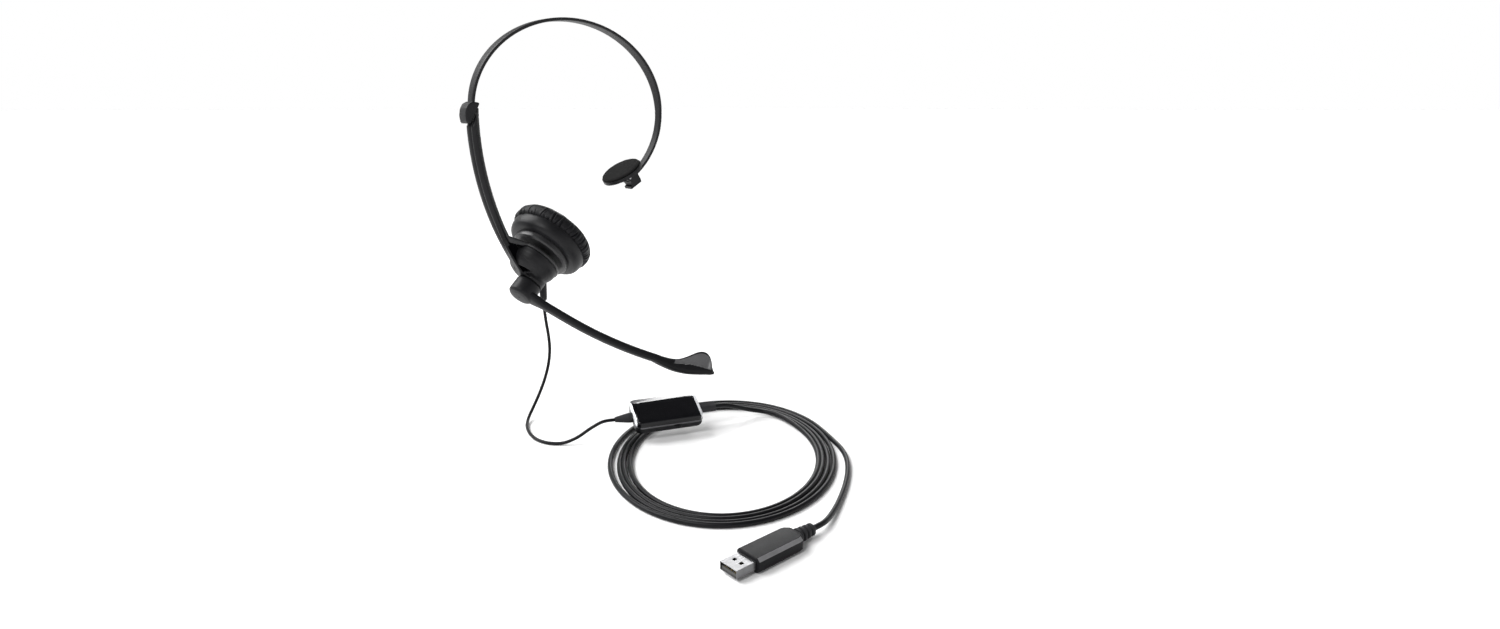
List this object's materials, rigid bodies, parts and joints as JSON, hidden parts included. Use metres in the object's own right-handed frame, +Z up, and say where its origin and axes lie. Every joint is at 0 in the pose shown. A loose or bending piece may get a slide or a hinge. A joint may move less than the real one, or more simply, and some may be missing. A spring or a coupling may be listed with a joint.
{
  "type": "corded headset",
  "caption": "One-ear corded call headset: sprung headband with temple pad, sliding arm, tilting ear cup, swinging boom microphone, inline volume and mute box, coiled lead and plug.",
  "frame": {"origin": "centre of the headband's arc, which is about the centre of the wearer's head", "axes": "+Z up to the crown of the headband, +X from the ear cup to the temple pad, -Y the way the wearer faces"},
  "size_m": [0.1697, 0.2932, 0.2711],
  "materials": {
    "band_black": "satin",
    "shell_black": "satin, fine grain",
    "inner_black": "satin",
    "boom_black": "satin",
    "mic_black": "soft gloss",
    "box_black": "polished",
    "box_matte": "satin",
    "trim_silver": "silver lacquer",
    "cushion_leather": "soft leatherette",
    "foam_black": "open foam",
    "cord_black": "smooth",
    "relief_rubber": "matt",
    "plug_black": "satin",
    "steel": "plain",
    "plug_steel": "bright nickel",
    "contact_gold": "gold plated",
    "board_green": "solder mask",
    "plug_white": "plain",
    "driver_grey": "satin",
    "paper": "pressed paper"
  },
  "bodies": {
    "arm": {"detent_spring": "steel", "arm_outer_shell": "shell_black", "arm_inner_cover": "inner_black", "hub_screws": "steel", "boom_screw": "steel", "headset_strain_relief": "relief_rubber", "headset_cord": "cord_black", "box_top_cover": "box_black", "box_bottom_cover": "box_matte", "box_trim": "trim_silver", "box_circuit_board": "board_green", "box_screws": "steel", "volume_control": "inner_black", "mute_switch": "inner_black", "cord_bushing": "relief_rubber", "lead_bushing": "relief_rubber", "usb_lead_start": "cord_black", "usb_lead_coil": "cord_black", "usb_lead_tail": "cord_black", "plug_strain_relief": "relief_rubber", "plug_overmould": "plug_black", "plug_shell": "plug_steel", "plug_tongue": "plug_white", "plug_contacts": "contact_gold"},
    "band": {"headband": "band_black", "band_grip": "shell_black", "adjuster_tongue": "inner_black", "temple_yoke": "shell_black", "temple_pin": "steel"},
    "temple_pad": {"temple_pad_plate": "shell_black", "temple_pad_foam": "foam_black"},
    "ball": {"swivel_ball": "steel"},
    "ear_cup": {"cup_rear_ring": "inner_black", "cup_shell": "shell_black", "cup_screws": "steel", "speaker_driver": "driver_grey", "speaker_diaphragm": "paper", "cup_baffle": "inner_black", "ear_cushion": "cushion_leather"},
    "boom": {"boom_ring": "boom_black", "boom_cap": "shell_black", "boom_arm": "boom_black", "mic_lower_shell": "boom_black", "mic_upper_shell": "mic_black", "mic_capsule": "steel", "mic_screen": "foam_black"},
    "volume": {"volume_wheel": "box_matte"},
    "mute": {"mute_slider": "box_matte"}
  },
  "joints": [
    {"name": "band_adjust", "type": "hinge", "parent": "arm", "child": "band", "pos_m": [0.1185, 0, -0.008], "axis": [0, 1, 0], "range_deg": [0, 8]},
    {"name": "temple_tilt", "type": "hinge", "parent": "band", "child": "temple_pad", "pos_m": [0.04132, 0, -0.04674], "axis": [0, 1, 0], "range_deg": [-9, 9]},
    {"name": "cup_tilt", "type": "hinge", "parent": "arm", "child": "ball", "pos_m": [-0.03072, 0.00261, -0.09615], "axis": [-0.2588, 0.9659, 0], "range_deg": [-8, 8]},
    {"name": "cup_swivel", "type": "hinge", "parent": "ball", "child": "ear_cup", "pos_m": [-0.03072, 0.00261, -0.09615], "axis": [0.5947, 0.1593, -0.788], "range_deg": [-6, 6]},
    {"name": "boom_rotate", "type": "hinge", "parent": "arm", "child": "boom", "pos_m": [-0.04347, -0.0008, -0.11662], "axis": [0.7612, 0.204, 0.6157], "range_deg": [-240, 5]},
    {"name": "volume_turn", "type": "hinge", "parent": "arm", "child": "volume", "pos_m": [0.00836, -0.09881, -0.20002], "axis": [-0.1342, -0.3497, 0.9272], "range_deg": [-135, 135]},
    {"name": "mute_slide", "type": "slide", "parent": "arm", "child": "mute", "axis": [0.9336, -0.3584, 0], "range_m": [0, 0.003]}
  ]
}
